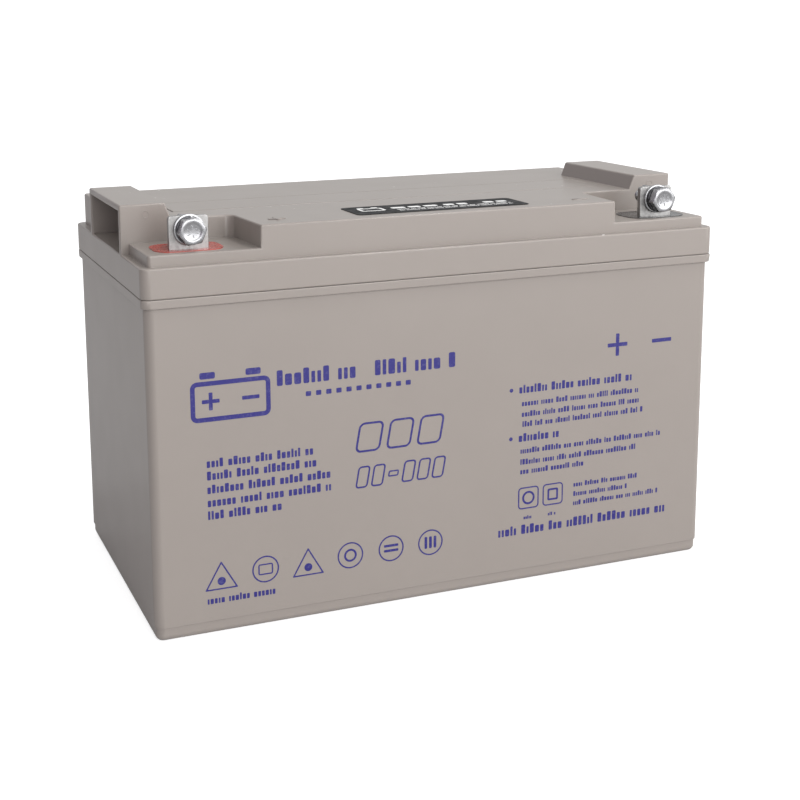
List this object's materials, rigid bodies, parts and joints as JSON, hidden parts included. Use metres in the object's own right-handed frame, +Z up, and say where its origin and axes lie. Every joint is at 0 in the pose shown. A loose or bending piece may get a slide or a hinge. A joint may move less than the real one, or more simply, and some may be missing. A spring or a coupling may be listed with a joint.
{
  "type": "deep cycle battery",
  "caption": "Sealed 12 V lead-acid battery: box case with partitioned cells, lid with end hand grips, and a bolted flag terminal in each front corner of the lid.",
  "frame": {"origin": "middle of the underside, on the surface that the battery stands on", "axes": "+X along the length from the positive to the negative terminal, +Y along the depth away from the terminals, +Z up"},
  "size_m": [0.33, 0.171, 0.22],
  "materials": {
    "case": "satin, fine moulded grain",
    "sealant": "satin",
    "valve_rubber": "matte",
    "label": "gloss",
    "ink": "satin print",
    "red_epoxy": "gloss, slightly uneven",
    "black_epoxy": "gloss, slightly uneven",
    "terminal_metal": "tin plated",
    "bolt_steel": "bright",
    "spring_steel": "bright",
    "lead": "dull",
    "lead_dioxide": "matte",
    "glass_mat": "matte"
  },
  "bodies": {
    "root": {"container": "case", "partitions": "case", "lid": "case", "end_blocks": "case", "lid_sealant": "sealant", "vent_cover": "case", "vent_valves": "valve_rubber", "top_label": "label", "positive_plates_1": "lead_dioxide", "negative_plates_1": "lead", "separators_1": "glass_mat", "positive_strap_1": "lead", "negative_strap_1": "lead", "positive_plates_2": "lead_dioxide", "negative_plates_2": "lead", "separators_2": "glass_mat", "positive_strap_2": "lead", "negative_strap_2": "lead", "positive_plates_3": "lead_dioxide", "negative_plates_3": "lead", "separators_3": "glass_mat", "positive_strap_3": "lead", "negative_strap_3": "lead", "positive_plates_4": "lead_dioxide", "negative_plates_4": "lead", "separators_4": "glass_mat", "positive_strap_4": "lead", "negative_strap_4": "lead", "positive_plates_5": "lead_dioxide", "negative_plates_5": "lead", "separators_5": "glass_mat", "positive_strap_5": "lead", "negative_strap_5": "lead", "positive_plates_6": "lead_dioxide", "negative_plates_6": "lead", "separators_6": "glass_mat", "positive_strap_6": "lead", "negative_strap_6": "lead", "cell_link_1": "lead", "cell_link_2": "lead", "cell_link_3": "lead", "cell_link_4": "lead", "cell_link_5": "lead", "positive_post": "lead", "positive_o_ring": "valve_rubber", "positive_epoxy": "red_epoxy", "positive_terminal": "terminal_metal", "positive_nut": "bolt_steel", "negative_post": "lead", "negative_o_ring": "valve_rubber", "negative_epoxy": "black_epoxy", "negative_terminal": "terminal_metal", "negative_nut": "bolt_steel"},
    "positive_washers": {"positive_flat_washer": "bolt_steel", "positive_spring_washer": "spring_steel"},
    "positive_screw": {"positive_bolt": "bolt_steel"},
    "negative_washers": {"negative_flat_washer": "bolt_steel", "negative_spring_washer": "spring_steel"},
    "negative_screw": {"negative_bolt": "bolt_steel"}
  },
  "joints": [
    {"name": "positive_bolt_travel", "type": "slide", "parent": "root", "child": "positive_washers", "axis": [0, -1, 0], "range_m": [0, 0.01]},
    {"name": "positive_bolt_turn", "type": "hinge", "parent": "positive_washers", "child": "positive_screw", "pos_m": [-0.1365, -0.0731, 0.21], "axis": [0, -1, 0], "range_deg": [0, 2880]},
    {"name": "negative_bolt_travel", "type": "slide", "parent": "root", "child": "negative_washers", "axis": [0, -1, 0], "range_m": [0, 0.01]},
    {"name": "negative_bolt_turn", "type": "hinge", "parent": "negative_washers", "child": "negative_screw", "pos_m": [0.1365, -0.0731, 0.21], "axis": [0, -1, 0], "range_deg": [0, 2880]}
  ],
  "couplings": [
    {"joint": "positive_bolt_travel", "follows": "positive_bolt_turn", "m_per_rad": 0.00019894},
    {"joint": "negative_bolt_travel", "follows": "negative_bolt_turn", "m_per_rad": 0.00019894}
  ]
}
